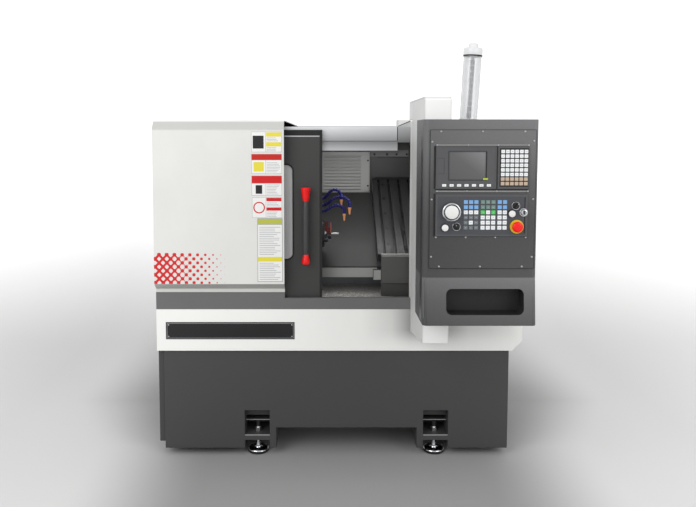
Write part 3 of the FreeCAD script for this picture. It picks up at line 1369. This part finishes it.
# ------------------------------------------------------------------ way covers
def moving_cover():
    """The sheet that the saddle draws along under the fixed way cover."""
    lift = "-cover_sink - 2 * sheet"
    under = slope_block(
        "moving_left", "way_low + moving_inset", lift,
        "saddle_left - moving_left", "way_high - way_low - 2 * moving_inset", "sheet",
    )
    strap = slope_block(
        "saddle_left - sheet * 2", "0", SADDLE_BACK, "sheet * 2", "saddle_length",
        f"{lift} - {SADDLE_BACK}",
    )
    return join(under, strap)


def way_cover():
    """The fixed cover over the ways, with its folded lower lip."""
    left = "bulkhead_x + bulkhead_thick"
    width = f"way_right - ({left})"
    plate = slope_block(left, "way_low", "-cover_sink", width, "way_high - way_low", "sheet")
    y, z = on_slope("way_low", "-cover_sink")
    lip = block(left, y, f"{z} - way_lip", width, "sheet", "way_lip + sheet / 2")
    return keep(join(plate, lip), "way_cover")


def saddle_apron():
    """The saddle's apron below the cross slide, with its tie and its wiper."""
    left, front = "slide_left + apron_inset", "slope_y + sheet"
    high = "saddle_apron_high - saddle_apron_low"
    width = f"saddle_left + saddle_width - ({left})"
    apron = block(left, front, "saddle_apron_low", width, "sheet", high)
    end = block(left, front, "saddle_apron_low", "sheet", "sheet * 3", high)
    tie = extrude("YZ_Plane", [[
        (front, "saddle_apron_high - apron_tie"), on_slope("0", SADDLE_BACK),
        on_slope("0", SADDLE_FACE), (front, "saddle_apron_high"),
    ]], "saddle_left + cross_rail_in / 2", "saddle_width - cross_rail_in")
    wiper = block(
        f"{left} - wiper_wide - block_gap * 2", "slope_y + sheet * 4 - wiper_deep", "wiper_low",
        "wiper_wide", "wiper_deep", "wiper_high",
    )
    arm = block(
        f"{left} - wiper_wide - block_gap * 2", front, "wiper_low",
        "wiper_wide + sheet", "sheet", "sheet * 6",
    )
    return keep(join(apron, end, tie, wiper, arm), "saddle_apron")


def louvre_panel():
    """The guard above the way cover: a sheet with pressed louvres and a flat flange."""
    left = "bulkhead_x + bulkhead_thick"
    body = extrude(
        "XZ_Plane", [box_outline(left, "louvre_low", "louvre_right", "louvre_high")],
        "louvre_y", "sheet",
    )
    count = int(size["louvre_count"])
    rise = f"(louvre_high - louvre_low - 2 * louvre_margin) / {count}"
    fins = []
    for number in range(count):
        low = f"louvre_low + louvre_margin + {rise} * {number}"
        fins.append(extrude("YZ_Plane", [[
            ("louvre_y", low), ("louvre_y - louvre_proud", low),
            ("louvre_y", f"{low} + {rise} * louvre_share"),
        ]], "louvre_left", "louvre_long"))
    foot = block(
        left, "louvre_y - louvre_proud", "louvre_low - louvre_foot",
        f"louvre_right - ({left})", "louvre_proud + sheet", "louvre_foot",
    )
    return keep(join(body, foot, *fins), "louvre_panel")


def bulkhead():
    """The wall beside the headstock, cut round bed and chuck, with the hoses' fittings."""
    low = on_slope("bed_low_edge", BED_FACE)
    high = on_slope("bed_high_edge", BED_FACE)
    outline = [
        ("sill_back", "header_low"),
        ("header_front + header_deep", "header_low"),
        ("header_front + header_deep", "roof_top - sheet"), ("rear_y - sheet", "roof_top - sheet"),
        ("rear_y - sheet", "pan_top"), ("bed_rear_y", "pan_top"), ("bed_rear_y", high[1]),
        high, low, ("bed_toe_y", "pan_top + bed_toe_high"), ("bed_toe_y", "pan_top"),
        ("sill_back", "pan_top"),
    ]
    hole = ("axis_y", "axis_z", "bulkhead_hole")
    body = extrude("YZ_Plane", [outline, hole], "bulkhead_x", "bulkhead_thick")
    right = "bulkhead_x + bulkhead_thick"
    fittings = [
        rod("x", right, f"{hose}_hose_y", f"{hose}_hose_z", "fitting_radius", "fitting_length")
        for hose in HOSES
    ]
    return keep(join(body, *fittings), "bulkhead")


# ------------------------------------------------------------------ headstock and spindle
def headstock():
    """The headstock: a bored barrel on a broad foot that stands on the bed's slope."""
    axis_along, axis_lift = AXIS_ALONG, AXIS_LIFT
    profile = [
        ("bed_low_edge", BED_FACE), ("bed_high_edge", BED_FACE),
        ("bed_high_edge", f"{BED_FACE} + head_toe"),
        (f"{axis_along} + head_half + head_shelf", "-slide_thick"),
        (f"{axis_along} + head_half", f"{axis_lift} + head_half - head_bevel"),
        (f"{axis_along} + head_half - head_bevel", f"{axis_lift} + head_half"),
        (f"{axis_along} - head_half + head_bevel", f"{axis_lift} + head_half"),
        (f"{axis_along} - head_half", f"{axis_lift} + head_half - head_bevel"),
        (f"{axis_along} - head_half", f"{axis_lift} - head_half"),
    ]
    bore = (axis_along, axis_lift, "spindle_radius + spindle_gap")
    body = extrude("YZ_Plane", [profile, bore], "head_left", "head_right - head_left")
    return keep(lay(body), "headstock")


AXIS_ALONG = "((axis_y - slope_y) * cos(slope * 1deg) + (axis_z - slope_z) * sin(slope * 1deg))"
AXIS_LIFT = "((axis_z - slope_z) * cos(slope * 1deg) - (axis_y - slope_y) * sin(slope * 1deg))"


def spindle():
    """The hollow spindle with its flange and its belt pulley."""
    outline = [
        ("spindle_bore", "spindle_tail"), ("spindle_neck", "spindle_tail"),
        ("spindle_neck", "pulley_x"), ("pulley_radius", "pulley_x"),
        ("pulley_radius", "pulley_x + pulley_wide"), ("spindle_radius", "pulley_x + pulley_wide"),
        ("spindle_radius", "head_right + spindle_gap"),
        ("flange_radius", "head_right + spindle_gap"),
        ("flange_radius", "chuck_left"), ("spindle_bore", "chuck_left"),
    ]
    return keep(revolve(outline, "x", "0", "axis_y", "axis_z"), "spindle")


JAW_TURNS = (("jaw_upper", 0.0), ("jaw_front", 120.0), ("jaw_rear", 240.0))


def chuck():
    """The chuck's body with three radial slots, and its three stepped jaws."""
    outline = [
        ("bar_radius + jaw_gap", "chuck_left"), ("chuck_radius", "chuck_left"),
        ("chuck_radius", "chuck_right - chuck_bevel"),
        ("chuck_radius - chuck_bevel", "chuck_right"), ("bar_radius + jaw_gap", "chuck_right"),
    ]
    body = revolve(outline, "x", "0", "axis_y", "axis_z")
    slots = []
    for name, turn in JAW_TURNS:
        about_x = Rotation(Vector(1, 0, 0), turn)
        slot = block(
            "0", "0", "0", "jaw_deep + jaw_gap + overcut", "jaw_wide + 2 * jaw_gap",
            "chuck_radius + overcut",
        )
        x, half = "chuck_right - jaw_deep - jaw_gap", "jaw_wide / 2 + jaw_gap"
        slots.append(radial(slot, about_x, x, half, "0"))
    keep(cut(body, *slots), "chuck")
    for name, turn in JAW_TURNS:
        about_x = Rotation(Vector(1, 0, 0), turn)
        inner = "bar_radius + jaw_gap"
        long, wide = f"jaw_outer - ({inner})", "jaw_wide"
        base = block("0", "0", "0", "jaw_deep + jaw_out / 2", wide, long)
        radial(base, about_x, "chuck_right - jaw_deep", "jaw_wide / 2", inner)
        step = block("0", "0", "0", "jaw_out / 2", wide, f"({long}) / 2")
        radial(step, about_x, "chuck_right + jaw_out / 2", "jaw_wide / 2", inner)
        keep(join(base, step), name)


def radial(thing, about_x, x, half, radius):
    """Places a block square on a radius of the spindle, turned about its axis."""
    thing.Placement = Placement(Vector(), about_x)
    angle = math.degrees(about_x.Angle) * (1 if about_x.Axis.x >= 0 else -1)
    y = f"axis_y - ({half}) * cos({angle} * 1deg) - ({radius}) * sin({angle} * 1deg)"
    z = f"axis_z - ({half}) * sin({angle} * 1deg) + ({radius}) * cos({angle} * 1deg)"
    thing.setExpression("Placement.Base.x", bound(x))
    thing.setExpression("Placement.Base.y", bound(y))
    thing.setExpression("Placement.Base.z", bound(z))
    return thing


def bar():
    """The turned bar held in the chuck."""
    stock = rod("x", "bar_tail", "axis_y", "axis_z", "bar_radius", "bar_end - bar_tail")
    return keep(stock, "bar_stock")


def spindle_drive():
    """The spindle motor on the headstock, its pulley and the belt to the spindle."""
    motor = tube(
        "x", "head_left", "motor_y", "motor_z", "motor_radius", "shaft_radius + spindle_gap",
        "motor_right - head_left",
    )
    foot_front = on_slope(f"{AXIS_ALONG} + head_half + head_shelf", "-slide_thick")
    foot_rear = on_slope("bed_high_edge", f"{BED_FACE} + head_toe")
    top = "motor_z - leg_drop"
    leg = extrude("YZ_Plane", [[
        foot_front, foot_rear, ("motor_y + leg_half", top), ("motor_y - leg_half", top),
    ]], "head_left + motor_foot_inset", "motor_right - head_left - 2 * motor_foot_inset")
    keep(join(motor, leg), "spindle_motor")
    shaft = rod(
        "x", "pulley_x", "motor_y", "motor_z", "shaft_radius", "head_left + shaft_seat - pulley_x",
    )
    wheel = rod("x", "pulley_x", "motor_y", "motor_z", "motor_pulley_radius", "pulley_wide")
    keep(join(shaft, wheel), "motor_pulley")
    keep(belt(), "drive_belt")


def belt():
    """The flat belt: two arcs round the pulleys and the two straight runs between them."""
    near = Vector(0, size["axis_y"], size["axis_z"])
    far = Vector(0, size["motor_y"], size["motor_z"])
    way = far - near
    loops = []
    for extra in (size["belt_thick"], size["spindle_gap"]):
        big, small = size["pulley_radius"] + extra, size["motor_pulley_radius"] + extra
        lean = math.acos((big - small) / way.Length)
        heading = math.atan2(way.z, way.y)

        def rim(centre, radius, angle):
            return centre + Vector(0, radius * math.cos(angle), radius * math.sin(angle))

        a, b = rim(near, big, heading + lean), rim(far, small, heading + lean)
        c, d = rim(far, small, heading - lean), rim(near, big, heading - lean)
        edges = [
            Part.makeLine(a, b), Part.Arc(b, rim(far, small, heading), c).toShape(),
            Part.makeLine(c, d), Part.Arc(d, rim(near, big, heading + math.pi), a).toShape(),
        ]
        loops.append(Part.Face(Part.Wire(edges)))
    inset = size["belt_inset"]
    band = loops[0].cut(loops[1]).extrude(Vector(size["pulley_wide"] - 2 * inset, 0, 0))
    feature = doc.addObject("Part::Feature", "belt")
    feature.Shape = band
    feature.Placement = Placement(Vector(size["pulley_x"] + inset, 0, 0), Rotation())
    return feature


# ------------------------------------------------------------------ coolant hoses
# three places on each hose's curve, in segment lengths from the face of its fitting
HOSES = {
    "upper": ((3.92, -0.92, 2.31), (6.31, -1.54, 3.31), (8.31, -2.46, 1.0)),
    "middle": ((4.69, -1.15, 2.0), (8.0, -1.46, 3.38), (11.38, -2.54, 0.62)),
    "lower": ((3.92, -0.31, 1.15), (6.31, -0.54, 2.23), (9.38, -0.92, 0.38)),
}
# one segment: shares of its length, with whether the hose is wide there
SEGMENT = ((0.0, False), (0.2, True), (0.55, True), (0.8, False))


def hose_line(hose):
    """A hose's middle line: straight out of its fitting, one curve, and straight down."""
    straight = size["hose_radius"] * 2
    x = size["bulkhead_x"] + size["bulkhead_thick"] + size["fitting_length"]
    start = Vector(x, size[f"{hose}_hose_y"], size[f"{hose}_hose_z"])
    first = start + Vector(straight, 0, 0)
    points = [start + Vector(*place) * size["hose_pitch"] for place in HOSES[hose]]
    curve = Part.BSplineCurve()
    curve.interpolate(
        Points=[first, *points], InitialTangent=Vector(1, 0, 0), FinalTangent=Vector(0, 0, -1),
    )
    last = points[-1] - Vector(0, 0, straight)
    lines = [Part.LineSegment(start, first), curve, Part.LineSegment(points[-1], last)]
    return Part.Wire([line.toShape() for line in lines])


def along_line(wire, distance):
    """The point and the direction at a distance along a wire."""
    for edge in wire.OrderedEdges:
        if distance <= edge.Length:
            parameter = edge.getParameterByLength(distance)
            return edge.valueAt(parameter), edge.tangentAt(parameter)
        distance -= edge.Length
    return edge.valueAt(edge.LastParameter), edge.tangentAt(edge.LastParameter)


def ring(centre, direction, radius):
    """A circle square to a direction, whose seam keeps to one side of the hose."""
    side = direction.cross(Vector(0, 1, 0)).normalize()
    turn = Rotation(side, Vector(), direction, "ZXY")
    circle = Part.makeCircle(radius)
    circle.Placement = Placement(centre, turn)
    return Part.Wire([circle])


def hoses():
    """Three jointed coolant hoses, each with its bore, and their nozzles."""
    ribbed, tips = [], []
    neck, wide, pitch = size["hose_neck"], size["hose_radius"], size["hose_pitch"]
    for hose in HOSES:
        line = hose_line(hose)
        ribs = round(line.Length / pitch)
        step = line.Length / ribs
        outer, inner = [], []
        for rib in range(ribs):
            for share, is_wide in SEGMENT:
                radius = wide if is_wide else neck
                outer.append(ring(*along_line(line, step * (rib + share)), radius))
            inner.append(ring(*along_line(line, step * rib), size["hose_bore"]))
        end, direction = along_line(line, line.Length)
        outer.append(ring(end, direction, neck))
        inner.append(ring(end, direction, size["hose_bore"]))
        bore = Part.makeLoft(inner, True, True)
        ribbed.append(Part.makeLoft(outer, True, True).cut(bore))
        length, wall = size["nozzle_length"], size["nozzle_wall"]
        tip = Part.makeCone(size["nozzle_wide"], size["nozzle_tip"], length, end, direction)
        hole = Part.makeCone(size["hose_bore"], size["nozzle_tip"] - wall, length, end, direction)
        tips.append(tip.cut(hole))
    for name, shapes in (("coolant_hoses", ribbed), ("hose_nozzles", tips)):
        feature = doc.addObject("Part::Feature", name)
        feature.Shape = Part.makeCompound(shapes)
        keep(feature, name)


# ------------------------------------------------------------------ the whole machine
for make in (
    base_cabinet, base_side_cover, levelling_feet, levelling_nuts, coolant_tank, coolant_pan,
    sill_rail, chip_tray, headstock_cover, roof_panel, header_beam, right_enclosure,
    rear_panel, column, pendant_housing, pendant_front_plate, display_unit,
    display_screen, keypad_unit, operator_panel, controls, handwheel, emergency_stop, signal_lamp,
    door, bed, saddle, cross_slide, screws_and_motors, way_cover, saddle_apron, louvre_panel,
    bulkhead, headstock, spindle, chuck, bar, spindle_drive, hoses,
):
    make()
doc.recompute()

for thing in doc.Objects:
    if "Invalid" in thing.State or "Error" in thing.State:
        raise RuntimeError(f"{thing.Name} {thing.Label} failed: {thing.State}")
for thing in PARTS:
    shape = thing.Shape
    if shape.isNull() or not shape.isValid():
        raise RuntimeError(f"{thing.Label} has no valid shape")
for thing in PARTS:
    shape = thing.Shape
    box = shape.BoundBox
    print(f"{thing.Label:20s} {len(shape.Solids):3d} solids {shape.Volume / 1000:12.1f} cm3"
          f"  X {box.XMin:8.1f} {box.XMax:8.1f}  Y {box.YMin:8.1f} {box.YMax:8.1f}"
          f"  Z {box.ZMin:8.1f} {box.ZMax:8.1f}")
    shape.exportStep(f"parts/{thing.Label}.step")
print(len(PARTS), "sub-parts")
